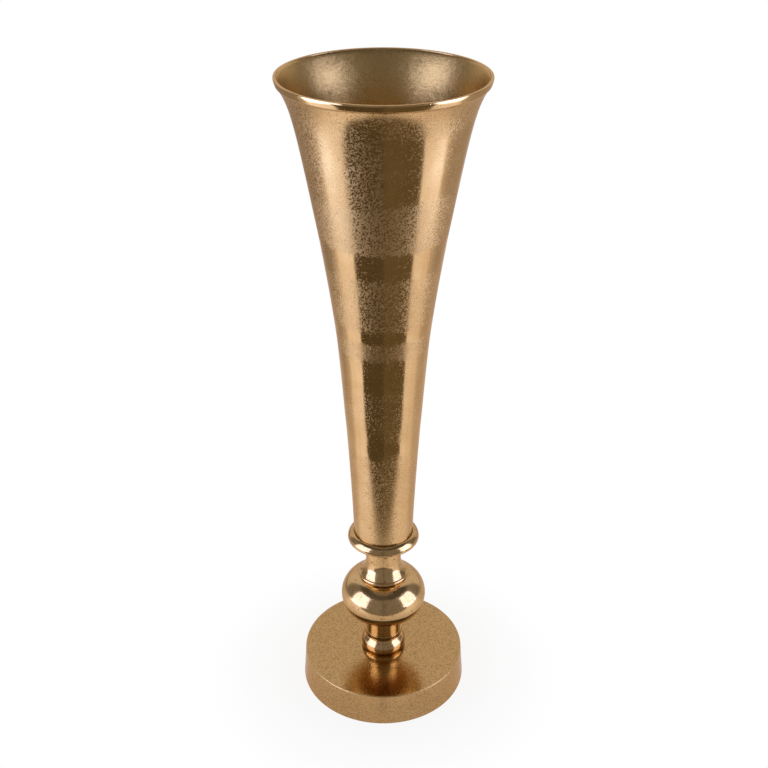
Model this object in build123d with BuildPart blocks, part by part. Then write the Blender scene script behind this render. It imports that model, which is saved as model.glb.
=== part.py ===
from build123d import *
import math
import os

# Trumpet vase: a cast, flared trumpet that screws onto a turned stem, on a round hollow base.
# Millimetres. The origin is on the floor under the middle of the base, and +Z runs up the axis
# that every piece is turned about. A steel rod through the stem clamps its pieces together.

os.makedirs("parts", exist_ok=True)

# Fits shared by all pieces
fit_clearance = 0.15  # radial, spigots in their recesses
rod_clearance = 0.25  # radial, rod in the bores of the stem
thread_clearance = 0.1  # radial, rod in the nuts and in the trumpet's boss
recess_gap = 0.5  # a spigot stops this far short of the bottom of its recess
spigot_radius = 12.0
spigot_height = 3.0

# Felt ring in a groove under the base's wall
felt_thickness = 1.5
felt_width = 4.5
felt_proud = 0.4
felt_clearance = 0.2

# Base
base_height = 39.6
base_bottom_radius = 99.4
base_draft = 2.9  # the wall leans in by this much at the top
base_wall = 7.0
base_plate = 6.0
base_top_edge = 0.9
base_bottom_edge = 0.5
base_inside_fillet = 4.0
base_boss_radius = 18.0
base_boss_drop = 10.0

# Ring spool
spool_height = 25.8
spool_ring_radius = 27.0
spool_ring_round = 5.6  # below its widest place
spool_shoulder_round = 15.0  # above its widest place
spool_waist_radius = 20.6
spool_cove = 5.0
spool_lip_radius = 21.8
spool_lip_height = 1.6
spool_lip_edge = 0.5

# Ball knop with its lower neck
lower_neck_radius = 21.0
ball_radius = 50.8
ball_height = 58.0  # its round side is half of this in radius
ball_rise = 55.5  # from the knop's foot to the ball's middle

# Bell neck
bell_height = 39.0
bell_bead_radius = 30.0
bell_bead_round = 2.4
bell_groove_angle = 72.0  # degrees up the bead where the skirt meets it
bell_neck_radius = 20.9
bell_skirt_lean = 42.0  # degrees that the skirt leans outward at the groove

# Collar dish
collar_height = 25.4
collar_overhang = 6.7  # from its recess out to its lower edge, before that is rounded
collar_edge_rise = 13.9
collar_edge_round = 4.4
collar_scoop_sag = 3.2
collar_crown_sag = 2.5  # the sloping top bulges by this much
collar_recess_depth = 9.4
collar_land = 0.8

# Trumpet
trumpet_height = 546.0
trumpet_foot_radius = 34.2
trumpet_wall = 3.2
trumpet_floor = 6.0
trumpet_floor_fillet = 6.0
lip_radius = 106.65
lip_height = 7.5
lip_undercut = 2.95  # the lip's lower edge is this much smaller in radius
lip_crown = 0.06  # and the rim this much
lip_widest_share = 0.867  # of the lip's height
lip_wall = 3.0
lip_edge = 0.6
foot_gap = 0.7  # radial, foot in the collar's recess
foot_ring_width = 8.5
foot_recess_depth = 13.0
trumpet_boss_radius = 13.0
trumpet_boss_height = 13.0
trumpet_boss_fillet = 3.0
thread_depth = 14.5
# Outline of the flare: heights from the foot to the lip's lower edge, and radii from foot to lip
flare_height_shares = (0.0, 0.18, 0.34, 0.51, 0.68, 0.845, 0.93, 0.973, 1.0)
flare_radius_shares = (0.0, 0.0617, 0.1416, 0.252, 0.437, 0.66, 0.7935, 0.8935, 1.0)
inside_shares_used = 8  # the inside leaves the lip's lower edge out and runs on to the rim

# Seat washer under the trumpet's foot
seat_thickness = 1.5
seat_inset = 0.8

# Rod, nuts and washers
rod_radius = 5.0
rod_end_chamfer = 0.8
rod_engagement = 12.0
rod_tail = 4.0
nut_across_flats = 17.0
nut_height = 8.0
nut_chamfer = 0.8
washer_radius = 10.5
washer_thickness = 2.0
lock_washer_radius = 8.8
lock_washer_thickness = 2.2
lock_washer_split = 1.2

# Heights of the stack, from the floor up
base_bottom_z = felt_proud
base_top_z = base_bottom_z + base_height
spool_top_z = base_top_z + spool_height
ball_z = spool_top_z + ball_rise
ball_seat_z = ball_z + ball_height / 2
bell_top_z = ball_seat_z + bell_height
collar_top_z = bell_top_z + collar_height
collar_floor_z = collar_top_z - collar_recess_depth
foot_z = collar_floor_z + seat_thickness
rim_z = foot_z + trumpet_height
foot_roof_z = foot_z + foot_recess_depth
trumpet_floor_z = foot_roof_z + trumpet_floor
base_boss_z = base_top_z - base_plate - base_boss_drop

# Sizes that follow from the fits
bore_radius = rod_radius + rod_clearance
thread_radius = rod_radius + thread_clearance
recess_radius = spigot_radius + fit_clearance
recess_depth = spigot_height + recess_gap
collar_recess_radius = trumpet_foot_radius + foot_gap
collar_edge_radius = collar_recess_radius + collar_overhang
foot_recess_radius = trumpet_foot_radius - foot_ring_width
base_top_radius = base_bottom_radius - base_draft
felt_outer_radius = base_bottom_radius - (base_wall - felt_width) / 2

half_plane = Plane.XZ


def round_point(centre, radius, angle):
    """Point of a round at an angle in degrees up from the level."""
    turn = math.radians(angle)
    return (centre[0] + radius * math.cos(turn), centre[1] + radius * math.sin(turn))


# Felt ring, glued into its groove and standing proud of it
with BuildPart() as felt_ring:
    with BuildSketch(Plane.XY):
        Circle(felt_outer_radius)
        Circle(felt_outer_radius - felt_width, mode=Mode.SUBTRACT)
    extrude(amount=felt_thickness)
felt_ring.part.label = "felt_ring"
export_step(felt_ring.part, "parts/felt_ring.step")

# Base: hollow casting with a drafted wall, a flat top and a boss for the rod
with BuildPart() as base:
    with BuildSketch(half_plane):
        with BuildLine():
            Polyline(
                (0, base_bottom_z),
                (base_bottom_radius, base_bottom_z),
                (base_top_radius, base_top_z),
                (0, base_top_z),
                close=True,
            )
        make_face()
    revolve(axis=Axis.Z)
    outer_edges = base.edges().filter_by(GeomType.CIRCLE).sort_by(Axis.Z)
    fillet(outer_edges[-1], base_top_edge)
    fillet(outer_edges[0], base_bottom_edge)
    with BuildSketch(half_plane) as hollow:
        with BuildLine():
            Polyline(
                (0, base_bottom_z),
                (base_bottom_radius - base_wall, base_bottom_z),
                (base_top_radius - base_wall, base_top_z - base_plate),
                (base_boss_radius, base_top_z - base_plate),
                (base_boss_radius, base_boss_z),
                (0, base_boss_z),
                close=True,
            )
        make_face()
        fillet(hollow.vertices().group_by(Axis.Y)[-1], base_inside_fillet)
    revolve(axis=Axis.Z, mode=Mode.SUBTRACT)
    with BuildSketch(Plane.XY.offset(felt_thickness)):
        Circle(felt_outer_radius + felt_clearance)
        Circle(felt_outer_radius - felt_width - felt_clearance, mode=Mode.SUBTRACT)
    extrude(amount=-felt_thickness, mode=Mode.SUBTRACT)
    with Locations((0, 0, base_top_z)):
        CounterBoreHole(bore_radius, recess_radius, recess_depth)
base.part.label = "base"
export_step(base.part, "parts/base.step")

# Ring spool: round ring with a wider shoulder, a cove and a thin lip under the knop's neck
ring_centre = (spool_ring_radius - spool_ring_round, base_top_z + spool_ring_round)
shoulder_centre = (spool_ring_radius - spool_shoulder_round, ring_centre[1])
shoulder_angle = math.degrees(math.acos((spool_waist_radius - shoulder_centre[0]) / spool_shoulder_round))
waist = round_point(shoulder_centre, spool_shoulder_round, shoulder_angle)
with BuildPart() as ring_spool:
    with BuildSketch(half_plane) as spool_section:
        with BuildLine():
            Line((0, base_top_z), (ring_centre[0], base_top_z))
            CenterArc(ring_centre, spool_ring_round, -90, 90)
            CenterArc(shoulder_centre, spool_shoulder_round, 0, shoulder_angle)
            Polyline(
                waist,
                (spool_lip_radius, spool_top_z - spool_lip_height),
                (spool_lip_radius, spool_top_z),
                (0, spool_top_z),
                (0, base_top_z),
            )
        make_face()
        fillet(spool_section.vertices().sort_by_distance(waist)[0], spool_cove)
    revolve(axis=Axis.Z)
    fillet(ring_spool.edges().group_by(Axis.Z)[-1], spool_lip_edge)
    with BuildSketch(Plane.XY.offset(base_top_z - spigot_height)):
        Circle(spigot_radius)
    extrude(amount=spigot_height)
    with Locations((0, 0, spool_top_z)):
        CounterBoreHole(bore_radius, recess_radius, recess_depth)
ring_spool.part.label = "ring_spool"
export_step(ring_spool.part, "parts/ring_spool.step")

# Ball knop: flattened ball with round sides on a short neck, and a flat on top for the bell neck
with BuildPart() as ball_knop:
    with BuildSketch(half_plane):
        with Locations((0, ball_z)):
            SlotOverall(2 * ball_radius, ball_height)
        with Locations((0, spool_top_z)):
            Rectangle(2 * lower_neck_radius, ball_rise, align=(Align.CENTER, Align.MIN))
        split(bisect_by=Plane.YZ)
    revolve(axis=Axis.Z)
    with BuildSketch(Plane.XY.offset(spool_top_z - spigot_height)):
        Circle(spigot_radius)
    extrude(amount=spigot_height)
    with Locations((0, 0, ball_seat_z)):
        CounterBoreHole(bore_radius, recess_radius, recess_depth)
ball_knop.part.label = "ball_knop"
export_step(ball_knop.part, "parts/ball_knop.step")

# Bell neck: round bead, a groove, a coved skirt and a straight neck under the collar
bead_centre = (bell_bead_radius - bell_bead_round, ball_seat_z + bell_bead_round)
groove = round_point(bead_centre, bell_bead_round, bell_groove_angle)
skirt_lean = math.radians(bell_skirt_lean)
skirt_round = (groove[0] - bell_neck_radius) / (1 - math.cos(skirt_lean))
skirt_top_z = groove[1] + skirt_round * math.sin(skirt_lean)
with BuildPart() as bell_neck:
    with BuildSketch(half_plane):
        with BuildLine():
            Line((0, ball_seat_z), (bead_centre[0], ball_seat_z))
            CenterArc(bead_centre, bell_bead_round, -90, 90 + bell_groove_angle)
            CenterArc((bell_neck_radius + skirt_round, skirt_top_z), skirt_round, 180, bell_skirt_lean)
            Polyline(
                (bell_neck_radius, skirt_top_z),
                (bell_neck_radius, bell_top_z),
                (0, bell_top_z),
                (0, ball_seat_z),
            )
        make_face()
    revolve(axis=Axis.Z)
    with BuildSketch(Plane.XY.offset(ball_seat_z - spigot_height)):
        Circle(spigot_radius)
    extrude(amount=spigot_height)
    with Locations((0, 0, bell_top_z)):
        CounterBoreHole(bore_radius, recess_radius, recess_depth)
bell_neck.part.label = "bell_neck"
export_step(bell_neck.part, "parts/bell_neck.step")

# Collar dish: scooped underside, round edge, crowned sloping top and a recess for the trumpet's foot
collar_edge = (collar_edge_radius, bell_top_z + collar_edge_rise)
with BuildPart() as collar_dish:
    with BuildSketch(half_plane) as collar_section:
        with BuildLine():
            Line((0, bell_top_z), (bell_neck_radius, bell_top_z))
            SagittaArc((bell_neck_radius, bell_top_z), collar_edge, collar_scoop_sag)
            SagittaArc(collar_edge, (collar_recess_radius + collar_land, collar_top_z), -collar_crown_sag)
            Polyline(
                (collar_recess_radius + collar_land, collar_top_z),
                (collar_recess_radius, collar_top_z),
                (collar_recess_radius, collar_floor_z),
                (0, collar_floor_z),
                (0, bell_top_z),
            )
        make_face()
        fillet(collar_section.vertices().sort_by(Axis.X)[-1], collar_edge_round)
    revolve(axis=Axis.Z)
    with BuildSketch(Plane.XY.offset(bell_top_z - spigot_height)):
        Circle(spigot_radius)
    extrude(amount=spigot_height)
    with Locations((0, 0, collar_floor_z)):
        Hole(bore_radius)
collar_dish.part.label = "collar_dish"
export_step(collar_dish.part, "parts/collar_dish.step")

# Seat washer: soft ring that the trumpet's foot is screwed down onto
with BuildPart() as seat_washer:
    with BuildSketch(Plane.XY.offset(collar_floor_z)):
        Circle(trumpet_foot_radius - seat_inset)
        Circle(foot_recess_radius + seat_inset, mode=Mode.SUBTRACT)
    extrude(amount=seat_thickness)
seat_washer.part.label = "seat_washer"
export_step(seat_washer.part, "parts/seat_washer.step")

# Trumpet: flared shell with a crowned lip, a closed floor, a foot recess and a boss for the rod
lip_foot_z = rim_z - lip_height
flare_rise = lip_foot_z - foot_z
flare_reach = lip_radius - lip_undercut - trumpet_foot_radius
outside = [
    (trumpet_foot_radius + flare_reach * radius_share, foot_z + flare_rise * height_share)
    for height_share, radius_share in zip(flare_height_shares, flare_radius_shares)
]
inside = [(radius - trumpet_wall, z) for radius, z in outside[1:inside_shares_used]]
inside_floor = (trumpet_foot_radius - trumpet_wall, trumpet_floor_z)
inside_rim = (lip_radius - lip_wall, rim_z)
with BuildPart() as trumpet:
    with BuildSketch(half_plane):
        with BuildLine():
            Spline(*outside)
            ThreePointArc(
                outside[-1],
                (lip_radius, lip_foot_z + lip_height * lip_widest_share),
                (lip_radius - lip_crown, rim_z),
            )
            Polyline((lip_radius - lip_crown, rim_z), (0, rim_z), (0, foot_z), outside[0])
        make_face()
    revolve(axis=Axis.Z)
    with BuildSketch(half_plane) as inside_section:
        with BuildLine():
            Spline(inside_floor, *inside, inside_rim)
            Polyline(inside_rim, (0, rim_z), (0, trumpet_floor_z), inside_floor)
        make_face()
        floor_corners = inside_section.vertices().group_by(Axis.Y)[0]
        fillet(floor_corners.sort_by(Axis.X)[-1], trumpet_floor_fillet)
    revolve(axis=Axis.Z, mode=Mode.SUBTRACT)
    fillet(trumpet.edges().group_by(Axis.Z)[-1], lip_edge)
    with BuildSketch(Plane.XY.offset(trumpet_floor_z)):
        Circle(trumpet_boss_radius)
    boss = extrude(amount=trumpet_boss_height)
    fillet(boss.edges().filter_by(GeomType.CIRCLE).group_by(Axis.Z)[-1], trumpet_boss_fillet)
    with BuildSketch(Plane.XY.offset(foot_z)):
        Circle(foot_recess_radius)
    extrude(amount=foot_recess_depth, mode=Mode.SUBTRACT)
    with BuildSketch(Plane.XY.offset(foot_roof_z)):
        Circle(thread_radius)
    extrude(amount=thread_depth, mode=Mode.SUBTRACT)
trumpet.part.label = "trumpet"
export_step(trumpet.part, "parts/trumpet.step")

# Rod: clamps the stem between its nuts, and its top end is the stud for the trumpet
bottom_washer_z = base_boss_z - washer_thickness
lock_washer_z = bottom_washer_z - lock_washer_thickness
bottom_nut_z = lock_washer_z - nut_height
top_nut_z = collar_floor_z + washer_thickness
with BuildPart() as tie_rod:
    with BuildSketch(Plane.XY.offset(bottom_nut_z - rod_tail)):
        Circle(rod_radius)
    extrude(amount=foot_roof_z + rod_engagement - bottom_nut_z + rod_tail)
    chamfer(tie_rod.edges().filter_by(GeomType.CIRCLE), rod_end_chamfer)
tie_rod.part.label = "tie_rod"
export_step(tie_rod.part, "parts/tie_rod.step")

# Flat washers, one under each nut
for name, washer_z in (("top_washer", collar_floor_z), ("bottom_washer", bottom_washer_z)):
    with BuildPart() as washer:
        with BuildSketch(Plane.XY.offset(washer_z)):
            Circle(washer_radius)
            Circle(bore_radius, mode=Mode.SUBTRACT)
        extrude(amount=washer_thickness)
    washer.part.label = name
    export_step(washer.part, f"parts/{name}.step")

# Split lock washer above the bottom nut
with BuildPart() as lock_washer:
    with BuildSketch(Plane.XY.offset(lock_washer_z)):
        Circle(lock_washer_radius)
        Circle(bore_radius, mode=Mode.SUBTRACT)
        with Locations((lock_washer_radius, 0)):
            Rectangle(2 * lock_washer_radius - 2 * rod_radius, lock_washer_split, mode=Mode.SUBTRACT)
    extrude(amount=lock_washer_thickness)
lock_washer.part.label = "lock_washer"
export_step(lock_washer.part, "parts/lock_washer.step")

# Hexagon nuts at both ends of the clamped stem
for name, nut_z in (("top_nut", top_nut_z), ("bottom_nut", bottom_nut_z)):
    with BuildPart() as nut:
        with BuildSketch(Plane.XY.offset(nut_z)):
            RegularPolygon(nut_across_flats / 2, 6, major_radius=False)
        extrude(amount=nut_height)
        chamfer(nut.faces().sort_by(Axis.Z)[-1].edges(), nut_chamfer)
        with Locations((0, 0, nut_z + nut_height)):
            Hole(thread_radius)
    nut.part.label = name
    export_step(nut.part, f"parts/{name}.step")
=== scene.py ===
import math
import bpy
import numpy as np
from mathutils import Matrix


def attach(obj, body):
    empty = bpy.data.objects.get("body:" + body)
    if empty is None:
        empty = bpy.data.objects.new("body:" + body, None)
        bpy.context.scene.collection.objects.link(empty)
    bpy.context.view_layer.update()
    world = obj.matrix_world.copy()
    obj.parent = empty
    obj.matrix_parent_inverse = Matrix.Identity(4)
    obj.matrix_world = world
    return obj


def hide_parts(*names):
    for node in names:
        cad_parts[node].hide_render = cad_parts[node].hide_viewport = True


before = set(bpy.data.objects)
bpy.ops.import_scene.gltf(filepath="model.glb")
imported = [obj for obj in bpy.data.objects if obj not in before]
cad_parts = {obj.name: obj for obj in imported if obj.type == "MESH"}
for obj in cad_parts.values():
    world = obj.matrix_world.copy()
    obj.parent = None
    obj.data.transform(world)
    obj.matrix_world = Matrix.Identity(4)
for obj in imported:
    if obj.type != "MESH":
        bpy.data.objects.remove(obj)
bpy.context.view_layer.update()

# Trumpet vase in antique-gold cast metal. Sizes are in millimetres, as in the solids,
# and become metres where a mesh is made.
MM = 0.001
PI = math.pi
TURN = 2 * PI

# Heights of the stack
BASE_BOTTOM = 0.4
BASE_TOP = 40.0
SPOOL_TOP = 65.8
BALL_MIDDLE = 121.3
BALL_SEAT = 150.3
BELL_TOP = 189.3
COLLAR_FLOOR = 205.3
COLLAR_TOP = 214.7
FOOT = 206.8
FOOT_ROOF = 219.8
TRUMPET_FLOOR = 225.8
BOSS_TOP = 238.8
RIM = 752.8
ROD_BOTTOM = 7.8
ROD_TOP = 231.8

# Bore for the rod, spigots under the stem pieces and the recesses that take them
BORE = 5.25
SPIGOT = 12.0
SPIGOT_DROP = 3.0
RECESS = 12.15
RECESS_DEPTH = 3.5

# Radius that the bell's neck and the collar's underside share
NECK = 20.9

# Faces round the axis
AROUND_CAST = 192
AROUND_STEM = 144
AROUND_RING = 240
AROUND_ROD = 24

# Rings rubbed into the trumpet: height of the middle, depth and reach
RUBBED_RINGS = [(328, 0.12, 14), (356, 0.20, 12), (470, 0.30, 14), (590, 0.20, 16)]

# How grainy the trumpet is left at shares of its height, on its left half and on its right
LEFT_GRAIN = [
    (0.0, 0.35),
    (0.235, 0.50),
    (0.245, 0.03),
    (0.30, 0.10),
    (0.31, 0.38),
    (0.39, 0.34),
    (0.40, 0.05),
    (0.455, 0.12),
    (0.465, 0.40),
    (0.505, 0.40),
    (0.512, 0.05),
    (0.53, 0.15),
    (0.54, 0.74),
    (0.645, 0.72),
    (0.655, 0.28),
    (0.70, 0.25),
    (0.708, 0.94),
    (0.79, 0.86),
    (0.80, 0.62),
    (0.985, 0.60),
]
RIGHT_GRAIN = [
    (0.0, 0.35),
    (0.245, 0.50),
    (0.255, 0.05),
    (0.27, 0.05),
    (0.28, 0.34),
    (0.39, 0.30),
    (0.40, 0.20),
    (0.455, 0.20),
    (0.465, 0.40),
    (0.505, 0.40),
    (0.512, 0.10),
    (0.53, 0.18),
    (0.54, 0.68),
    (0.645, 0.72),
    (0.655, 0.20),
    (0.70, 0.20),
    (0.708, 0.92),
    (0.80, 0.70),
    (0.81, 0.20),
    (0.925, 0.24),
    (0.935, 0.60),
]

# Studio, in metres and degrees. The floor ends a little in front of the vase, in the dark part of the room.
FLOOR_FRONT = 0.29
FLOOR_REACH = 4.0
DARK_LEFT = -57
DARK_RIGHT = 58
SOFTBOX_COLOUR = (0.57, 0.61, 0.96)
SOFTBOX_RADIANCE = 3.5
SOFTBOX_AWAY = 1.6
SOFTBOX_LOW = 0.02

# Camera, fitted to the photograph's rim and base
CAMERA_PLACE = (0.0, -1.1464, 1.0554)
CAMERA_PITCH = 29.34
CAMERA_LENS = 55.95
CAMERA_SHIFT = 0.0008
SENSOR_WIDTH = 36.0


# Profiles: arrays of (radius, height) that run up the outside of a piece, so that faces point outwards


def straight(start, end, step=2.5, ease=0.25):
    """Points on a straight run, closer together at its ends so that flat faces shade flat."""
    start = np.asarray(start, float)
    end = np.asarray(end, float)
    length = math.dist(start, end)
    if length < 4 * ease:
        share = np.array([0.0, 1.0])
    else:
        inner = np.linspace(ease, length - ease, max(2, int(length / step) + 1))
        share = np.concatenate(([0.0], inner / length, [1.0]))
    return start + share[:, None] * (end - start)


def arc(middle, radius, first, last, count):
    """Points of a circle's arc: middle plus radius times cosine and sine of an evenly stepped angle."""
    angle = np.radians(np.linspace(first, last, count + 1))
    return np.stack([middle[0] + radius * np.cos(angle), middle[1] + radius * np.sin(angle)], axis=1)


def arc_through(first, middle, last, count):
    """Points of the circle's arc that runs from first to last through middle.

    The circle's centre is the point that is as far from first as from middle and from last.
    """
    a, b, c = (np.asarray(p, float) for p in (first, middle, last))
    system = 2 * np.array([b - a, c - a])
    centre = np.linalg.solve(system, [b @ b - a @ a, c @ c - a @ a])
    start = math.atan2(a[1] - centre[1], a[0] - centre[0])
    end = math.atan2(c[1] - centre[1], c[0] - centre[0])
    return arc(centre, math.dist(a, centre), math.degrees(start), math.degrees(end), count)


def bend(enter, corner, leave, share):
    """Points, at shares of its run, of the quadratic curve from enter to leave that corner draws aside."""
    return (1 - share) ** 2 * enter + 2 * share * (1 - share) * corner + share**2 * leave


def joined(*legs):
    """Legs one after another, without the points that repeat the one before."""
    least_gap = 1e-4
    points = np.concatenate(legs)
    gap = np.linalg.norm(np.diff(points, axis=0), axis=1)
    return points[np.concatenate(([True], gap > least_gap))]


def outline(corners, step=2.5):
    """A run of straight lines through corners of (radius, height, rounding).

    A rounded corner becomes a quadratic curve whose ends lie on its two lines, one rounding away, but no
    further along a line than a set share of it.
    """
    most = 0.45
    legs = []
    share = np.linspace(0, 1, 7)[:, None]
    last = np.array(corners[0][:2], float)
    for before, corner, after in zip(corners[:-2], corners[1:-1], corners[2:]):
        middle = np.array(corner[:2], float)
        back = np.array(before[:2], float) - middle
        on = np.array(after[:2], float) - middle
        reach_back = min(corner[2], most * np.linalg.norm(back))
        reach_on = min(corner[2], most * np.linalg.norm(on))
        enter = middle + back / np.linalg.norm(back) * reach_back
        leave = middle + on / np.linalg.norm(on) * reach_on
        legs.append(straight(last, enter, step))
        legs.append(bend(enter, middle, leave, share))
        last = leave
    legs.append(straight(last, corners[-1][:2], step))
    return joined(*legs)


def rounded_meeting(first, second, rounding):
    """Two curves that end at one corner, with a smooth turn from one rounding before it to one after it."""
    corner = first[-1]
    far_first = np.linalg.norm(first - corner, axis=1)
    far_second = np.linalg.norm(second - corner, axis=1)
    first = first[far_first > rounding]
    second = second[far_second > rounding]
    share = np.linspace(0, 1, 13)[1:-1, None]
    return np.concatenate([first, bend(first[-1], corner, second[0], share), second])


def square_to(direction):
    """The unit direction a quarter turn to the left of a direction."""
    return np.array([-direction[1], direction[0]]) / np.linalg.norm(direction)


def spline(points, count):
    """A smooth curve through points: cubic pieces with matching bends, stepped by the chords' lengths.

    Each end's direction is that of the cubic through its four nearest points.
    """
    points = np.asarray(points, float)
    chord = np.linalg.norm(np.diff(points, axis=0), axis=1)
    knot = np.concatenate(([0.0], np.cumsum(chord)))
    size = len(points)

    def end_slope(rows):
        """Slope, at the first row, of the cubic through four rows of points."""
        fit = np.polyfit(knot[rows] - knot[rows[0]], points[rows], 3)
        return fit[2]

    matrix = np.zeros((size, size))
    right = np.zeros((size, 2))
    matrix[0, 0] = 1.0
    matrix[-1, -1] = 1.0
    right[0] = end_slope([0, 1, 2, 3])
    right[-1] = end_slope([size - 1, size - 2, size - 3, size - 4])
    inner = np.arange(1, size - 1)
    matrix[inner, inner - 1] = 1 / chord[:-1]
    matrix[inner, inner] = 2 / chord[:-1] + 2 / chord[1:]
    matrix[inner, inner + 1] = 1 / chord[1:]
    rise = np.diff(points, axis=0) / chord[:, None] ** 2
    right[inner] = 3 * (rise[:-1] + rise[1:])
    slope = np.linalg.solve(matrix, right)
    at = np.linspace(0, knot[-1], count)
    piece = np.clip(np.searchsorted(knot, at, side="right") - 1, 0, size - 2)
    width = chord[piece][:, None]
    s = (at - knot[piece])[:, None] / width
    return (
        (2 * s**3 - 3 * s**2 + 1) * points[piece]
        + (s**3 - 2 * s**2 + s) * width * slope[piece]
        + (3 * s**2 - 2 * s**3) * points[piece + 1]
        + (s**3 - s**2) * width * slope[piece + 1]
    )


# Meshes


def waves(angle, height, seed, count, round_most, up_most):
    """Smooth unevenness from -1 to 1: sines that go whole times round the axis and run up it."""
    draw = np.random.default_rng(seed)
    times = draw.integers(0, round_most + 1, count)
    rise = draw.uniform(-up_most, up_most, count)
    phase = draw.uniform(0, TURN, count)
    total = np.zeros(np.broadcast(angle, height).shape)
    for k, m, p in zip(times, rise, phase):
        total = total + np.sin(k * angle + TURN * m * height + p)
    return total / count


def fade(value, start, length):
    """0 up to start, then a straight rise to 1 over a length."""
    return np.clip((value - start) / length, 0, 1)


def near(profile, point, reach):
    """How close each profile point is to a point: 1 at it, falling smoothly to 0 a few reaches away."""
    away = np.linalg.norm(profile - np.asarray(point, float), axis=1)
    return np.exp(-((away / reach) ** 2))


def turned(name, profile, around, closed, dent, marks=None):
    """A surface of revolution: each profile point goes once round the axis.

    A point lies at radius times cosine and sine of its angle, and at its own height.
    dent(angle, radius, height) moves it in towards the axis. A closed profile joins its last row to its
    first; an open one starts and ends on the axis, and each end closes with a fan. marks are attributes,
    one value for each profile point.
    """
    ends = 0 if closed else 1
    rows = profile[ends : len(profile) - ends]
    angle = np.linspace(0, TURN, around, endpoint=False)[None, :]
    radius = np.repeat(rows[:, :1], around, axis=1)
    height = np.repeat(rows[:, 1:], around, axis=1)
    radius = radius - dent(angle, radius, height)
    grid = np.stack([radius * np.cos(angle), radius * np.sin(angle), height], axis=-1).reshape(-1, 3)
    count = len(rows)
    i = np.arange(count if closed else count - 1)[:, None]
    j = np.arange(around)[None, :]
    up = (i + 1) % count
    side = (j + 1) % around
    quads = np.stack([i * around + j, i * around + side, up * around + side, up * around + j], axis=-1)
    faces = quads.reshape(-1, 4).tolist()
    if not closed:
        low = len(grid)
        grid = np.concatenate([grid, [[0, 0, profile[0, 1]], [0, 0, profile[-1, 1]]]])
        ring = np.arange(around)
        after = (ring + 1) % around
        top = (count - 1) * around
        faces += np.stack([np.full(around, low), after, ring], axis=1).tolist()
        faces += np.stack([top + ring, top + after, np.full(around, low + 1)], axis=1).tolist()
    mesh = bpy.data.meshes.new(name)
    mesh.from_pydata((grid * MM).tolist(), [], faces)
    mesh.shade_smooth()
    for mark, values in (marks or {}).items():
        spread = np.repeat(values[ends : len(profile) - ends], around)
        if not closed:
            spread = np.concatenate([spread, values[[0, -1]]])
        layer = mesh.attributes.new(mark, "FLOAT", "POINT")
        layer.data.foreach_set("value", spread.astype(np.float32))
    piece = bpy.data.objects.new(name, mesh)
    bpy.context.scene.collection.objects.link(piece)
    return piece


# Node trees


class Wire:
    """One output socket in a node tree. Arithmetic on it adds Math nodes."""

    def __init__(self, tree, socket=None):
        self.tree = tree
        self.socket = socket

    def node(self, kind, settings, sockets, out=0):
        """Adds a node, sets it up, gives its inputs values or links, and returns one of its outputs."""
        made = self.tree.nodes.new(kind)
        for key, value in settings.items():
            if key == "stops":
                ramp = made.color_ramp
                while len(ramp.elements) < len(value):
                    ramp.elements.new(1.0)
                for element, (spot, grey) in zip(ramp.elements, value):
                    element.position = spot
                    element.color = (grey, grey, grey, 1.0)
            else:
                setattr(made, key, value)
        for key, value in sockets.items():
            if isinstance(value, Wire):
                self.tree.links.new(value.socket, made.inputs[key])
            else:
                made.inputs[key].default_value = value
        return Wire(self.tree, made.outputs[out] if len(made.outputs) else None)

    def math(self, operation, first, second=0.0):
        """One operation on two numbers, or on the first alone."""
        return self.node("ShaderNodeMath", {"operation": operation}, {0: first, 1: second})

    def __add__(self, other):
        return self.math("ADD", self, other)

    def __radd__(self, other):
        return self.math("ADD", other, self)

    def __sub__(self, other):
        return self.math("SUBTRACT", self, other)

    def __rsub__(self, other):
        return self.math("SUBTRACT", other, self)

    def __mul__(self, other):
        return self.math("MULTIPLY", self, other)

    def __truediv__(self, other):
        return self.math("DIVIDE", self, other)

    def size(self):
        """The number without its sign."""
        return self.math("ABSOLUTE", self)

    def step(self, low, high):
        """0 below low, 1 above high and a smooth rise between them; falling if low is above high."""
        settings = {"interpolation_type": "SMOOTHSTEP"}
        return self.node("ShaderNodeMapRange", settings, {0: self, 1: low, 2: high, 3: 0.0, 4: 1.0})

    def noise(self, place, scale, detail, rough, twist=0.0):
        """Smooth noise from 0 to 1 about one half; scale is in waves to the metre."""
        sockets = {"Vector": place, "Scale": scale, "Detail": detail, "Roughness": rough, "Distortion": twist}
        return self.node("ShaderNodeTexNoise", {}, sockets)

    def blend(self, share, first, second):
        """Mix of two colours: the first where share is 0, the second where it is 1."""
        settings = {"data_type": "RGBA", "clamp_factor": True}
        return self.node("ShaderNodeMix", settings, {0: share, 6: first, 7: second}, out=2)

    def ramp(self, stops, place):
        """Straight runs between stops of (place, value)."""
        return self.node("ShaderNodeValToRGB", {"stops": stops}, {0: place})

    def stretched(self, place, factors):
        """A place with each of its three numbers times a factor."""
        return self.node("ShaderNodeVectorMath", {"operation": "MULTIPLY"}, {0: place, 1: factors})

    def raised(self, height, strength, distance):
        """Bump from a height of about 0 to 1, in metres of distance."""
        return self.node("ShaderNodeBump", {}, {"Strength": strength, "Distance": distance, "Height": height})

    def mark(self, name):
        """A number that the mesh keeps at each of its points."""
        return self.node("ShaderNodeAttribute", {"attribute_name": name}, {}, out="Fac")

    def axis(self, place, letter):
        """One of the three numbers of a place or direction."""
        return self.node("ShaderNodeSeparateXYZ", {}, {0: place}, out=letter)

    def ray(self, kind):
        """1 for rays of one kind and 0 for all others."""
        return self.node("ShaderNodeLightPath", {}, {}, out=kind)


def shade(red, green, blue):
    """A colour from its three shares of light, with full cover."""
    return (red, green, blue, 1.0)


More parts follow.
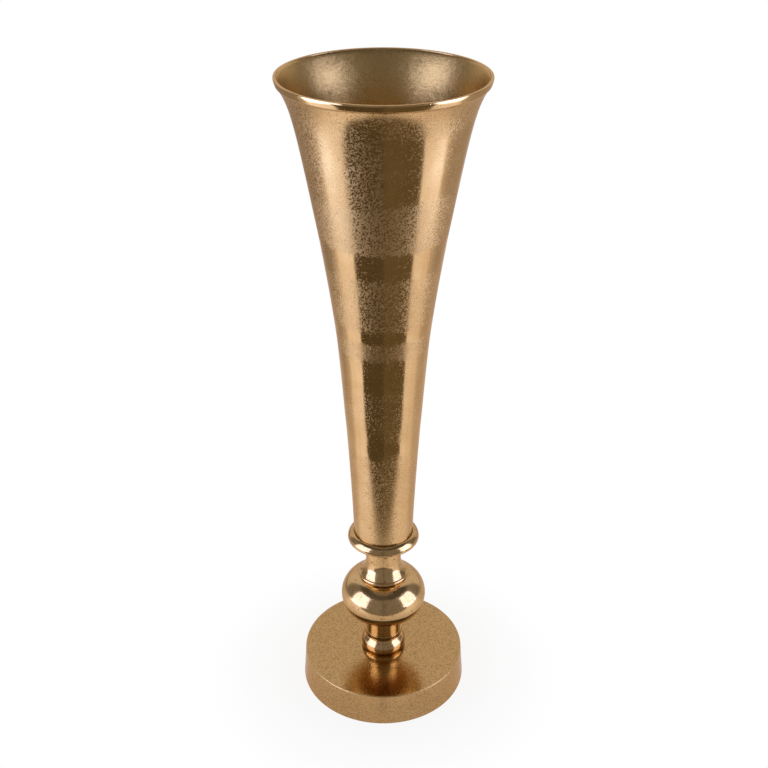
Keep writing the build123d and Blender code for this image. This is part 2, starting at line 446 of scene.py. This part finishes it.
def new_finish(name, fixed):
    """A material with a Principled shader; fixed holds the values that are the same all over."""
    finish = bpy.data.materials.new(name)
    finish.use_nodes = True
    tree = finish.node_tree
    shader = tree.nodes["Principled BSDF"]
    for key, value in fixed.items():
        shader.inputs[key].default_value = value
    start = Wire(tree)
    place = start.node("ShaderNodeTexCoord", {}, {}, out="Object")

    def give(socket, wire):
        """Links a wire to one of the shader's inputs."""
        tree.links.new(wire.socket, shader.inputs[socket])

    return finish, start, place, give


WHITE = shade(1.0, 1.0, 1.0)
GOLD = shade(0.62, 0.42, 0.190)
GOLD_PALE = shade(0.70, 0.50, 0.245)
GOLD_WARM = shade(0.61, 0.405, 0.175)
GOLD_DEEP = shade(0.36, 0.228, 0.092)
GOLD_INSIDE = shade(0.54, 0.372, 0.150)
GOLD_GRAZED = shade(0.95, 0.83, 0.70)
PATINA = shade(0.100, 0.060, 0.023)
GOLD_METAL = {"Metallic": 1.0, "Specular Tint": GOLD_GRAZED}
FELT_DARK = shade(0.030, 0.022, 0.017)
FELT_LIGHT = shade(0.085, 0.064, 0.050)
RUBBER_BLACK = shade(0.012, 0.012, 0.012)
RUBBER_BLOOM = shade(0.045, 0.043, 0.040)
ZINC_GREY = shade(0.50, 0.51, 0.53)
ZINC_YELLOW = shade(0.58, 0.55, 0.45)


def cast_trumpet_gold():
    """Sand-cast gold, rubbed to a mirror in places and left grainy in others, and rough inside.

    How grainy it is follows bands up the trumpet, one set on each half, with uneven edges. The grainier it
    is, the more of it is flecks: spots that the rubbing missed, with a wide soft shine, on a ground with a
    narrow one.
    """
    finish, start, place, give = new_finish("cast_trumpet_gold", GOLD_METAL)
    inside = start.mark("inside")
    lip = start.mark("lip")
    across = start.axis(place, "X")
    back = start.axis(place, "Y")
    up = start.axis(place, "Z")

    # Share of the trumpet's height, made uneven by some millimetres
    slow = start.noise(place, 16.0, 3.0, 0.55)
    ragged = start.noise(place, 150.0, 3.0, 0.65)
    slow_stray = 0.010
    ragged_stray = 0.012
    climb = up - FOOT * MM + (slow - 0.5) * slow_stray + (ragged - 0.5) * ragged_stray
    climb = climb / ((RIM - FOOT) * MM)

    # The halves meet sharply in front and softly behind
    sharp_seam = 0.003
    soft_seam = 0.04
    seam = back.step(-0.02, 0.02) * soft_seam + sharp_seam
    half = across.step(0 - seam, seam)
    left = start.ramp(LEFT_GRAIN, climb)
    right = start.ramp(RIGHT_GRAIN, climb)
    grainy = (left * (1 - half) + right * half) * (slow.step(0.30, 0.65) * 0.3 + 0.85)

    # Dull band at half height, and a weaker dullness towards the foot
    haze = climb.step(0.466, 0.474) * climb.step(0.514, 0.508) + climb.step(0.26, 0.12) * 0.4

    # Flecks are where the noise is over a least value, which is lower where the cast is grainier
    grain = start.noise(place, 560.0, 3.0, 0.75)
    least = 0.59 - grainy * 0.20
    fleck = grain.step(least, least + 0.12) * (1 - lip)
    pits = start.noise(place, 300.0, 1.0, 0.4).step(0.31, 0.22)

    relief = 0.0007
    outer_height = grain * (grainy * 0.15 + 0.02) * (1 - lip) - pits * grainy * 0.2
    inner_height = grain * 0.22 + start.noise(place, 130.0, 3.0, 0.55) * 0.60
    height = outer_height * (1 - inside) + inner_height * inside
    give("Normal", start.raised(height, 1.0, relief))

    polished_rough = 0.10
    fleck_more = 0.38
    haze_more = 0.17
    inside_rough = 0.33
    outer_rough = fleck * fleck_more + haze * haze_more + polished_rough
    give("Roughness", outer_rough * (1 - inside) + inside * inside_rough)

    tone = start.noise(place, 34.0, 4.0, 0.6)
    colour = start.blend(tone.step(0.3, 0.75), GOLD, GOLD_PALE)
    colour = start.blend(fleck * 0.6, colour, GOLD_WARM)
    colour = start.blend(inside, colour, GOLD_INSIDE)
    hollow = (1 - grain).step(0.50, 0.66) * (grainy * 0.30 + inside * 0.10) + pits * grainy * 0.5
    give("Base Color", start.blend(hollow, colour, PATINA))
    return finish


def turned_gold():
    """Turned and polished gold: faint rings from the lathe, soft smears and a few cast pin-holes."""
    finish, start, place, give = new_finish("turned_gold", GOLD_METAL)
    slow = start.noise(place, 42.0, 3.0, 0.6)
    grain = start.noise(place, 520.0, 3.0, 0.6)
    holes = start.noise(place, 330.0, 1.0, 0.3).step(0.33, 0.20)
    dirt = start.noise(place, 420.0, 4.0, 0.7).step(0.50, 0.68)
    dirt = dirt * slow.step(0.62, 0.42) * 0.5
    rings = start.noise(start.stretched(place, (0.12, 0.12, 1.0)), 900.0, 2.0, 0.6)
    relief = 0.00006
    height = grain * 0.22 + rings * 0.10 - holes * 0.8 + slow * 4.0
    give("Normal", start.raised(height, 1.0, relief))
    polished_rough = 0.12
    smear_more = 0.06
    hole_more = 0.2
    give("Roughness", slow.step(0.25, 0.8) * smear_more + polished_rough + holes * hole_more)
    colour = start.blend(slow.step(0.35, 0.75), GOLD, GOLD_PALE)
    give("Base Color", start.blend(holes * 0.8 + dirt, colour, PATINA))
    return finish


def cast_base_gold():
    """Satin cast gold with fine grain, mottled patina and an edge worn bright."""
    finish, start, place, give = new_finish("cast_base_gold", GOLD_METAL)
    edge = start.mark("edge")
    slow = start.noise(place, 28.0, 4.0, 0.6)
    grain = start.noise(place, 560.0, 2.0, 0.65)
    fine = start.noise(place, 1300.0, 1.0, 0.5)
    nicks = start.noise(place, 60.0, 3.0, 0.7).step(0.56, 0.66) * edge
    relief = 0.0001
    height = (grain + fine * 0.3) * (1 - edge * 0.7) - nicks * 1.2
    give("Normal", start.raised(height, 1.0, relief))
    satin_rough = 0.115
    edge_more = 0.24
    give("Roughness", (slow - 0.5) * 0.06 + satin_rough + edge * edge_more)
    colour = start.blend(slow.step(0.3, 0.75), GOLD_WARM, GOLD)
    worn = start.blend(edge * 0.4, colour, GOLD_PALE)
    speck = (1 - grain).step(0.44, 0.62) * 0.75 * (1 - edge)
    give("Base Color", start.blend(speck, worn, GOLD_DEEP))
    return finish


def pressed_felt():
    """Dark brown pressed felt: tangled fibres in colour and height."""
    finish, start, place, give = new_finish("pressed_felt", {"Sheen Weight": 0.3})
    fibres = start.noise(place, 1400.0, 4.0, 0.7, twist=1.5)
    clumps = start.noise(place, 180.0, 3.0, 0.6)
    give("Base Color", start.blend(fibres, FELT_DARK, FELT_LIGHT))
    give("Roughness", clumps * 0.15 + 0.82)
    give("Normal", start.raised(fibres + clumps, 0.8, 0.0005))
    return finish


def seat_rubber():
    """Black rubber with a dusty bloom and a fine moulded grain."""
    finish, start, place, give = new_finish("seat_rubber", {})
    bloom = start.noise(place, 60.0, 4.0, 0.65)
    grain = start.noise(place, 1500.0, 2.0, 0.5)
    give("Base Color", start.blend(bloom.step(0.4, 0.8), RUBBER_BLACK, RUBBER_BLOOM))
    give("Roughness", bloom * 0.25 + 0.55)
    give("Normal", start.raised(grain, 0.3, 0.0002))
    return finish


def zinc_plate():
    """Zinc-plated steel: cool grey with a faint yellow passivation and fine drawn scratches."""
    finish, start, place, give = new_finish("zinc_plate", {"Metallic": 1.0})
    cloud = start.noise(place, 110.0, 4.0, 0.6)
    scratch = start.noise(start.stretched(place, (1.0, 1.0, 0.08)), 1600.0, 2.0, 0.6)
    give("Base Color", start.blend(cloud.step(0.35, 0.75), ZINC_GREY, ZINC_YELLOW))
    give("Roughness", cloud * 0.18 + 0.22 + scratch * 0.08)
    give("Normal", start.raised(scratch, 0.25, 0.0002))
    return finish


# Pieces


def stem_piece(name, outside, bottom, top, recessed):
    """A turned stem piece: its outside, a recess in its top for the next spigot, a bore and a spigot."""
    crown = [(outside[-1, 0], top, 0.0)]
    if recessed:
        crown += [(RECESS, top, 0.3), (RECESS, top - RECESS_DEPTH, 0.2)]
        crown += [(BORE, top - RECESS_DEPTH, 0.2)]
    else:
        crown += [(BORE, top, 0.2)]
    crown += [(BORE, bottom - SPIGOT_DROP, 0.3), (SPIGOT, bottom - SPIGOT_DROP, 0.3)]
    crown += [(SPIGOT, bottom, 0.1), (outside[0, 0], bottom, 0.0)]
    profile = joined(outside, outline(crown, step=3.0)[1:-1])
    depth = 0.06

    def hand_polish(angle, radius, height):
        """Depth times one plus waves, on faces well outside the spigots and a little clear of the joints."""
        free = fade(radius, SPIGOT + 2, 4)
        clear = fade(height - bottom, 0.5, 3) * fade(top - height, 0.5, 3)
        slow = waves(angle, height / 30, seed=7, count=9, round_most=6, up_most=1.0)
        return depth * free * clear * (1 + slow)

    return turned(name, profile, AROUND_STEM, True, hand_polish)


def ring_spool():
    """Round ring with a wider shoulder, a cove and a thin lip."""
    ring = 27.0
    low_round = 5.6
    shoulder_round = 15.0
    cove = 20.6
    cove_turn = 3.2
    lip_radius = 21.8
    lip_land = 20.4
    lip_height = 1.6
    widest = BASE_TOP + low_round
    low = arc((ring - low_round, widest), low_round, -90, 0, 16)
    shoulder_middle = ring - shoulder_round
    reach = math.degrees(math.acos((cove - shoulder_middle) / shoulder_round))
    shoulder = arc((shoulder_middle, widest), shoulder_round, 0, reach, 30)
    wall = straight(shoulder[-1], (lip_radius, SPOOL_TOP - lip_height), step=0.5)
    lip = outline([(*wall[-1], 0), (lip_radius, SPOOL_TOP, 0.5), (lip_land, SPOOL_TOP, 0)], step=0.5)
    outside = joined(low, rounded_meeting(shoulder, wall, cove_turn), lip)
    return stem_piece("ring_spool_turned", outside, BASE_TOP, SPOOL_TOP, True)


def ball_knop():
    """Short neck and flattened ball: a half circle from the neck round to the flat on top."""
    ball = 50.8
    half_height = 29.0
    neck_radius = 21.0
    side = arc((ball - half_height, BALL_MIDDLE), half_height, -90, 90, 110)
    neck = outline([(neck_radius, SPOOL_TOP, 0), (neck_radius, side[0, 1], 0.3), (*side[0], 0)], step=1.5)
    return stem_piece("ball_knop_turned", joined(neck, side), SPOOL_TOP, BALL_SEAT, True)


def bell_neck():
    """Round bead, a groove, a coved skirt and a straight neck."""
    bead_radius = 30.0
    bead_round = 2.4
    lean = 42.0
    bead = arc((bead_radius - bead_round, BALL_SEAT + bead_round), bead_round, -90, 72, 26)
    cove_round = (bead[-1, 0] - NECK) / (1 - math.cos(math.radians(lean)))
    cove_top = bead[-1, 1] + cove_round * math.sin(math.radians(lean))
    cove = arc((NECK + cove_round, cove_top), cove_round, 180 + lean, 180, 26)
    outside = joined(bead, cove, straight((NECK, cove_top), (NECK, BELL_TOP), step=1.5))
    return stem_piece("bell_neck_turned", outside, BALL_SEAT, BELL_TOP, True)


def collar_dish():
    """Scooped underside, round edge, crowned sloping top and the recess that the trumpet stands in."""
    low = np.array([NECK, BELL_TOP])
    edge_up = 13.9
    edge = np.array([41.6, BELL_TOP + edge_up])
    land = np.array([35.7, COLLAR_TOP])
    scoop = 3.2
    rise = 2.5
    edge_turn = 2.6
    recess_radius = 34.9
    recess_middle = 30.0
    under = arc_through(low, (low + edge) / 2 + scoop * square_to(edge - low), edge, 60)
    crown = arc_through(edge, (edge + land) / 2 - rise * square_to(land - edge), land, 60)
    recess = [(*land, 0), (recess_radius, COLLAR_TOP, 0.25), (recess_radius, COLLAR_FLOOR, 0.3)]
    recess += [(recess_middle, COLLAR_FLOOR, 0)]
    outside = joined(rounded_meeting(under, crown, edge_turn), outline(recess, step=1.5))
    return stem_piece("collar_dish_turned", outside, BELL_TOP, COLLAR_FLOOR, False)


def cast_base():
    """Hollow base: leaning wall, flat top, felt groove, and a boss for the rod inside."""
    foot = 99.4
    foot_land = 98.9
    top = 96.5
    groove_outer = 98.35
    groove_inner = 93.45
    groove_roof = 1.5
    hollow_foot = 92.4
    hollow_top = 89.5
    boss_radius = 18.0
    roof_thickness = 6
    boss_height = 10
    roof = BASE_TOP - roof_thickness
    boss = roof - boss_height
    corners = [(foot_land, BASE_BOTTOM, 0), (foot, BASE_BOTTOM, 0.5), (top, BASE_TOP, 1.1)]
    corners += [(RECESS, BASE_TOP, 0.3), (RECESS, BASE_TOP - RECESS_DEPTH, 0.2)]
    corners += [(BORE, BASE_TOP - RECESS_DEPTH, 0.2), (BORE, boss, 0.3)]
    corners += [(boss_radius, boss, 0.8), (boss_radius, roof, 4.0)]
    corners += [(hollow_top, roof, 4.0), (hollow_foot, BASE_BOTTOM, 0.3)]
    corners += [(groove_inner, BASE_BOTTOM, 0.1), (groove_inner, groove_roof, 0.1)]
    corners += [(groove_outer, groove_roof, 0.1), (groove_outer, BASE_BOTTOM, 0.1)]
    profile = outline(corners + [(foot_land, BASE_BOTTOM, 0)])[:-1]
    depth = 0.08

    def hand_finish(angle, radius, height):
        """Depth times one plus waves on the wall, none near the floor."""
        wall = fade(radius, 94, 2) * fade(height, 3, 4)
        slow = waves(angle, height / 40, seed=5, count=10, round_most=9, up_most=1.0)
        return depth * wall * (1 + slow)

    worn_edge = (96.2, BASE_TOP - 0.3)
    edge = near(profile, worn_edge, 0.9)
    return turned("base_cast", profile, AROUND_CAST, True, hand_finish, {"edge": edge})


def cast_trumpet():
    """Flared shell with a crowned lip, closed floor, foot recess and the boss for the rod."""
    foot_radius = 34.2
    flare_out = 69.5
    shares_up = np.array([0.0, 0.18, 0.34, 0.51, 0.68, 0.845, 0.93, 0.973, 1.0])
    shares_out = np.array([0.0, 0.0617, 0.1416, 0.252, 0.437, 0.66, 0.7935, 0.8935, 1.0])
    foot_edge = (34.15, FOOT + 0.35)
    foot_land = 33.8
    lip_foot = RIM - 7.5
    lip_under = (105.0, RIM - 7.1)
    lip_widest = (106.55, RIM - 2.2)
    lip_edge = (106.5, RIM)
    lip_land = 105.0
    mouth = 103.65
    mouth_round = 1.2
    mouth_inner = 103.2
    wall_thickness = 3.2
    rod_hole = 5.1
    rod_hole_top = FOOT_ROOF + 14.5
    foot_recess = 25.7
    floor_radius = 31.0
    floor_turn = 6.5
    boss_radius = 13.0
    rise = FOOT + (lip_foot - FOOT) * shares_up
    knots = np.stack([foot_radius + flare_out * shares_out, rise], axis=1)
    hole = [(0, rod_hole_top, 0), (rod_hole, rod_hole_top, 0.3), (rod_hole, FOOT_ROOF, 0.5)]
    foot = [(foot_recess, FOOT_ROOF, 1.0), (foot_recess, FOOT, 0.5), (foot_land, FOOT, 0)]
    hidden = outline(hole + foot)
    flare = spline(knots, count=230)
    flare[0] = foot_edge
    face = [(*knots[-1], 0), (*lip_under, 0.7), (*lip_widest, 2.0), (*lip_edge, 0.6), (lip_land, RIM, 0)]
    lip = outline(face, step=0.6)
    crown = outline([(*lip[-1], 0), (mouth, RIM, 0.6), (mouth_inner, RIM - mouth_round, 0)], step=0.6)
    inner_knots = [[[floor_radius, TRUMPET_FLOOR]], knots[1:8] - (wall_thickness, 0), [[mouth, RIM]]]
    wall = spline(np.concatenate(inner_knots), count=190)[::-1]
    wall = wall[(wall[:, 1] < RIM - mouth_round) & (wall[:, 1] > TRUMPET_FLOOR + floor_turn)]
    floor = [(*wall[-1], 0), (floor_radius, TRUMPET_FLOOR, 6.0), (boss_radius, TRUMPET_FLOOR, 0.8)]
    floor += [(boss_radius, BOSS_TOP, 3.0), (0, BOSS_TOP, 0)]
    outer = joined(hidden, flare, lip, crown)
    profile = joined(outer, wall, outline(floor, step=2.0))
    inner = (np.arange(len(profile)) >= len(outer)).astype(float)
    lip_middle = (106.2, RIM - 3.0)
    lip_rows = near(profile, lip_middle, 4.4) * (1 - inner)
    depth = 0.15

    def hand_finish(angle, radius, height):
        """Depth times one plus slow waves, and four rubbed rings, fading out at the foot and the lip."""
        clear = fade(height - COLLAR_TOP, 2, 25) * fade(RIM - height, 12, 18)
        slow = waves(angle, height / 110, seed=3, count=12, round_most=4, up_most=1.0)
        rings = 0
        for middle, deep, reach in RUBBED_RINGS:
            rings = rings + deep * np.exp(-(((height - middle) / reach) ** 2))
        return clear * (depth * (1 + slow) + rings)

    marks = {"inside": inner, "lip": lip_rows}
    return turned("trumpet_cast", profile, AROUND_CAST, False, hand_finish, marks)


def soft_ring(name, inner, outer, low, high, rounding, fuzz):
    """A flat ring with rounded edges and a slightly uneven surface."""
    start = (outer - rounding, low, 0)
    corners = [start, (outer, low, rounding), (outer, high, rounding), (inner, high, rounding)]
    corners += [(inner, low, rounding), start]
    profile = outline(corners, step=0.8)[:-1]

    def uneven(angle, radius, height):
        """Fuzz times one plus waves, into the ring from its outer and from its inner side."""
        side = np.sign(radius - (inner + outer) / 2)
        quick = waves(angle, height, seed=13, count=12, round_most=60, up_most=0.3)
        return side * fuzz * (1 + quick)

    return turned(name, profile, AROUND_RING, True, uneven)


def felt_ring():
    """The felt that fills the groove under the base and stands on the floor."""
    inner = 93.65
    outer = 98.15
    thickness = 1.5
    return soft_ring("felt_ring_pressed", inner, outer, 0.0, thickness, rounding=0.25, fuzz=0.02)


def seat_washer():
    """The soft ring between the collar's floor and the trumpet's foot."""
    inner = 26.5
    outer = 33.4
    return soft_ring("seat_washer_moulded", inner, outer, COLLAR_FLOOR, FOOT, rounding=0.3, fuzz=0.01)


def threaded_rod():
    """A stud with a thread: its radius falls and rises once a pitch, and the wave climbs one pitch a turn."""
    pitch = 1.5
    rod = 5.0
    depth = 0.8
    levels = np.arange(ROD_BOTTOM, ROD_TOP + 0.01, pitch / 6)
    side = np.stack([0 * levels + rod, levels], axis=1)
    profile = np.concatenate([[[0, ROD_BOTTOM]], side, [[0, ROD_TOP]]])

    def thread(angle, radius, height):
        """Depth times a clipped zigzag of height and angle, and a chamfer one depth long at both ends."""
        wave = np.abs((height / pitch - angle / TURN) % 1.0 - 0.5) * 2
        end = np.minimum(height - ROD_BOTTOM, ROD_TOP - height)
        return depth * np.clip(wave * 1.3 - 0.15, 0, 1) + depth * np.clip(1 - end / depth, 0, 1)

    return turned("tie_rod_threaded", profile, AROUND_ROD, False, thread)


trumpet_finish = cast_trumpet_gold()
polished = turned_gold()
base_finish = cast_base_gold()
felt = pressed_felt()
rubber = seat_rubber()
zinc = zinc_plate()

made = [
    (cast_trumpet(), "trumpet", "trumpet", "gold_cast", trumpet_finish),
    (collar_dish(), "collar_dish", "pedestal", "gold_polished", polished),
    (bell_neck(), "bell_neck", "pedestal", "gold_polished", polished),
    (ball_knop(), "ball_knop", "pedestal", "gold_polished", polished),
    (ring_spool(), "ring_spool", "pedestal", "gold_polished", polished),
    (cast_base(), "base", "pedestal", "gold_cast", base_finish),
    (felt_ring(), "felt_ring", "pedestal", "felt", felt),
    (seat_washer(), "seat_washer", "pedestal", "seat_rubber", rubber),
    (threaded_rod(), "tie_rod", "pedestal", "zinc_steel", zinc),
]
for piece, node, body, slot, finish in made:
    piece.data.materials.append(finish)
    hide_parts(node)
    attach(piece, body)

for node in ("top_nut", "top_washer", "bottom_nut", "bottom_washer", "lock_washer"):
    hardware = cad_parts[node]
    hardware.data.materials.clear()
    hardware.data.materials.append(zinc)

# Studio: white floor, two softboxes and a room that is dark behind the camera


def studio_floor():
    """A polar grid: radius share times how far the floor goes at that angle.

    It goes FLOOR_REACH all round, but in front only to a straight edge FLOOR_FRONT away.
    """
    around = 240
    angle = np.linspace(-PI, PI, around, endpoint=False)
    ahead = np.cos(angle)
    in_front = (angle > math.radians(DARK_LEFT)) & (angle < math.radians(DARK_RIGHT))
    reach = np.where(in_front, FLOOR_FRONT / np.maximum(ahead, 0.3), FLOOR_REACH)
    share = np.linspace(0, 1, 25)[1:] ** 2
    radius = share[:, None] * reach[None, :]
    grid = np.stack([radius * np.sin(angle), -radius * np.cos(angle), 0 * radius], axis=-1).reshape(-1, 3)
    grid = np.concatenate([grid, [[0, 0, 0]]])
    i = np.arange(len(share) - 1)[:, None]
    j = np.arange(around)[None, :]
    side = (j + 1) % around
    out = i + 1
    quads = np.stack([i * around + j, out * around + j, out * around + side, i * around + side], axis=-1)
    ring = np.arange(around)
    fan = np.stack([np.full(around, len(grid) - 1), ring, (ring + 1) % around], axis=1)
    mesh = bpy.data.meshes.new("studio_floor")
    mesh.from_pydata(grid.tolist(), [], quads.reshape(-1, 4).tolist() + fan.tolist())
    floor = bpy.data.objects.new("studio_floor", mesh)
    bpy.context.scene.collection.objects.link(floor)
    return floor


def floor_white():
    """White floor: plain white to the camera, with a share of its real shading near the vase.

    Mirrored in the vase it carries a painted pool of light at the sides, near the softboxes, and a little in
    front, and is cooler where it is brighter.
    It carries painted shade far back on both sides, and in a narrow strip straight in front.
    """
    mirrored_plain = shade(0.690, 0.600, 0.590)
    # Colours of the floor's painted light as mirrored in the vase: cooler where it is brighter
    mirrored_bright = shade(0.70, 0.70, 0.90)
    mirrored_brightest = shade(0.70, 0.82, 1.30)
    bounced = shade(0.90, 0.78, 0.62)
    near_glow = 0.42
    far_glow = 0.10
    lamp_glow = 1.7
    left_glow = 0.18
    front_glow = 0.14
    # Strengths of the painted shade on the floor
    left_painted_shade = 0.48
    right_painted_shade = 0.30
    strip_loss = 0.25
    real_share = 0.10
    finish = bpy.data.materials.new("floor_white")
    finish.use_nodes = True
    tree = finish.node_tree
    tree.nodes.clear()
    start = Wire(tree)
    place = start.node("ShaderNodeTexCoord", {}, {}, out="Object")
    away = start.node("ShaderNodeVectorMath", {"operation": "LENGTH"}, {0: place}, out="Value")
    across = start.axis(place, "X")
    back = start.axis(place, "Y")
    camera_ray = start.ray("Is Camera Ray")
    glossy_ray = start.ray("Is Glossy Ray")
    through_ray = start.ray("Is Transmission Ray")
    seen = start.math("MAXIMUM", start.math("MAXIMUM", camera_ray, glossy_ray), through_ray)
    wide = across.size()
    # Painted pool of light, seen only in the vase: brighter at the sides towards the softboxes, and a little
    # in front
    painted_side_light = wide.step(0.05, 0.28) * near_glow + wide.step(0.5, 0.8) * far_glow
    painted_side_light = painted_side_light + wide.step(0.85, 1.30) * lamp_glow + across.step(-0.10, -0.35) * left_glow
    # Painted shade, seen only in the vase: darker far back on both sides and in a narrow strip straight in
    # front
    corners = across.step(-0.3, -0.8) * left_painted_shade + across.step(0.4, 0.9) * right_painted_shade
    painted_corner_shade = back.step(0.12, 0.45) * corners
    strip = (1 - wide.step(0.003, 0.016)) * back.step(-0.10, -0.16) * strip_loss
    painted_front_light = back.step(-0.10, -0.18) * front_glow
    painted_light = back.step(0.16, -0.02) * painted_side_light + painted_front_light - painted_corner_shade - strip
    cool = start.blend(painted_light - 0.35, mirrored_plain, mirrored_bright)
    cool = start.blend(painted_light.step(1.1, 2.3), cool, mirrored_brightest)
    white = start.blend(camera_ray, cool, WHITE)
    # The painted light and shade show only in glossy rays; the camera sees plain white
    plain = start.node("ShaderNodeEmission", {}, {"Color": white, "Strength": 1 + painted_light * glossy_ray})
    lit = start.node("ShaderNodeBsdfDiffuse", {}, {"Color": bounced})
    share = seen * (away.step(0.10, 0.24) * real_share + (1 - real_share))
    mixed = start.node("ShaderNodeMixShader", {}, {0: share, 1: lit, 2: plain})
    start.node("ShaderNodeOutputMaterial", {}, {0: mixed})
    return finish


floor = studio_floor()
floor.data.materials.append(floor_white())


def softbox(name, turn, width, high):
    """A softbox lamp: turn is its angle round the vase from the camera's side, in degrees.

    Its energy is its radiance times pi times its area.
    """
    height = high - SOFTBOX_LOW
    lamp = bpy.data.lights.new(name, "AREA")
    lamp.shape = "RECTANGLE"
    lamp.size = width
    lamp.size_y = height
    lamp.color = SOFTBOX_COLOUR
    lamp.energy = SOFTBOX_RADIANCE * PI * width * height
    box = bpy.data.objects.new(name, lamp)
    a = math.radians(turn)
    box.location = (SOFTBOX_AWAY * math.sin(a), -SOFTBOX_AWAY * math.cos(a), (SOFTBOX_LOW + high) / 2)
    box.rotation_euler = (PI / 2, 0, a)
    box.visible_camera = False
    bpy.context.scene.collection.objects.link(box)


softbox("softbox_left", turn=-65.5, width=1.33, high=1.76)
softbox("softbox_right", turn=72, width=1.16, high=1.62)


def studio_room():
    """World: white to the camera; to everything else a pale room that is darker in front of the vase.

    In front it is dim and brown below the floor's edge, with a narrow darker strip above that for the
    camera's stand. A dark band runs round below the ceiling, and the wall behind the vase is the brightest.
    """
    soft = 3
    side_level = 0.36
    front_level = 0.39
    strip_loss = 0.11
    low_level = 0.16
    low_right_more = 0.07
    band_level = 0.15
    behind_level = 1.05
    room_tint = shade(0.70, 0.625, 0.60)
    low_tint = shade(0.70, 0.536, 0.320)
    world = bpy.data.worlds.new("studio_room")
    world.use_nodes = True
    world.node_tree.nodes.clear()
    room = Wire(world.node_tree)
    look = room.node("ShaderNodeTexCoord", {}, {}, out="Generated")
    look_x = room.axis(look, "X")
    look_y = room.axis(look, "Y")
    look_z = room.axis(look, "Z")
    bearing = room.math("ARCTAN2", look_x, 0 - look_y) * (180 / PI)
    from_left = bearing.step(DARK_LEFT - soft, DARK_LEFT + soft)
    from_right = bearing.step(DARK_RIGHT + soft, DARK_RIGHT - soft)
    front = from_left * from_right
    behind = bearing.size().step(118.0, 128.0)
    strip = 1 - (bearing - 1.0).size().step(1.5, 5.0)
    above_floor = look_z.step(-0.50, -0.36)
    ceiling = look_z.step(0.92, 0.97)
    dark_band = look_z.step(0.70, 0.78) * (1 - ceiling)
    low = bearing.step(-1.0, 2.0) * low_right_more + low_level
    ahead = low * (1 - above_floor) + above_floor * (front_level - strip * strip_loss)
    level = ahead * front + (1 - front) * side_level
    level = level * (1 - dark_band) + dark_band * band_level
    level = level * (1 - behind) + behind * behind_level
    tint = room.blend(front * (1 - above_floor), room_tint, low_tint)
    camera_ray = room.ray("Is Camera Ray")
    strength = level * (1 - camera_ray) + camera_ray
    seen_tint = room.blend(camera_ray, tint, WHITE)
    backdrop = room.node("ShaderNodeBackground", {}, {"Color": seen_tint, "Strength": strength})
    room.node("ShaderNodeOutputWorld", {}, {0: backdrop})
    return world


bpy.context.scene.world = studio_room()

eye = bpy.data.cameras.new("camera")
eye.sensor_width = SENSOR_WIDTH
eye.lens = CAMERA_LENS
eye.shift_x = CAMERA_SHIFT
camera = bpy.data.objects.new("camera", eye)
camera.location = CAMERA_PLACE
camera.rotation_euler = (math.radians(90 - CAMERA_PITCH), 0.0, 0.0)
bpy.context.scene.collection.objects.link(camera)
bpy.context.scene.camera = camera
bpy.context.scene.view_settings.view_transform = "Standard"
